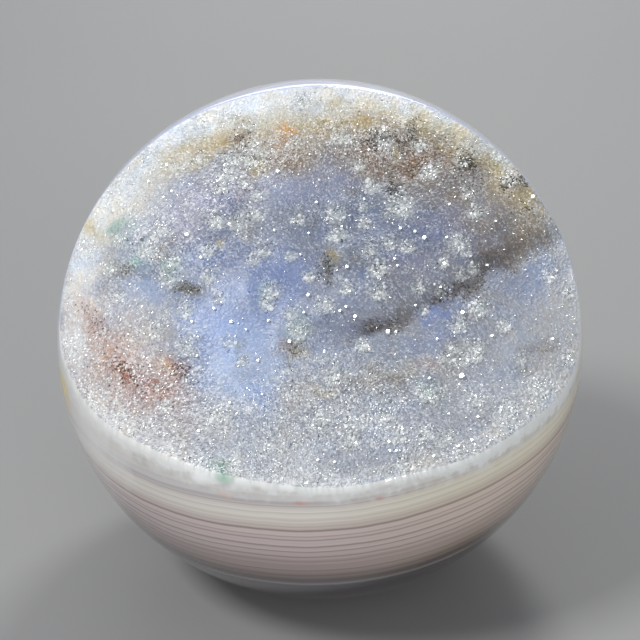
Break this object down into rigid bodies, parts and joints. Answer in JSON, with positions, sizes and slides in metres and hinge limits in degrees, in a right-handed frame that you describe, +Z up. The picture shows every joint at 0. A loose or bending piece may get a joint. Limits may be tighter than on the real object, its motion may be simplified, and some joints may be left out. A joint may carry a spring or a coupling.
{
  "type": "druzy agate ball",
  "caption": "Polished ball of banded agate with one broad face left as sparkling quartz druse; a paperweight or display stone that stands on a small ground flat.",
  "frame": {"origin": "middle of the small ground flat that the ball stands on, straight below the ball's centre", "axes": "+Z up; the druse is turned up and towards -Y, 48.7 degrees from straight up; +X runs to the right as the druse is looked at"},
  "size_m": [0.0607, 0.0599, 0.0586],
  "materials": {
    "druzy_agate": "polished, sparkling where it is druse"
  },
  "bodies": {
    "root": {"druzy_agate": "druzy_agate"}
  },
  "joints": []
}
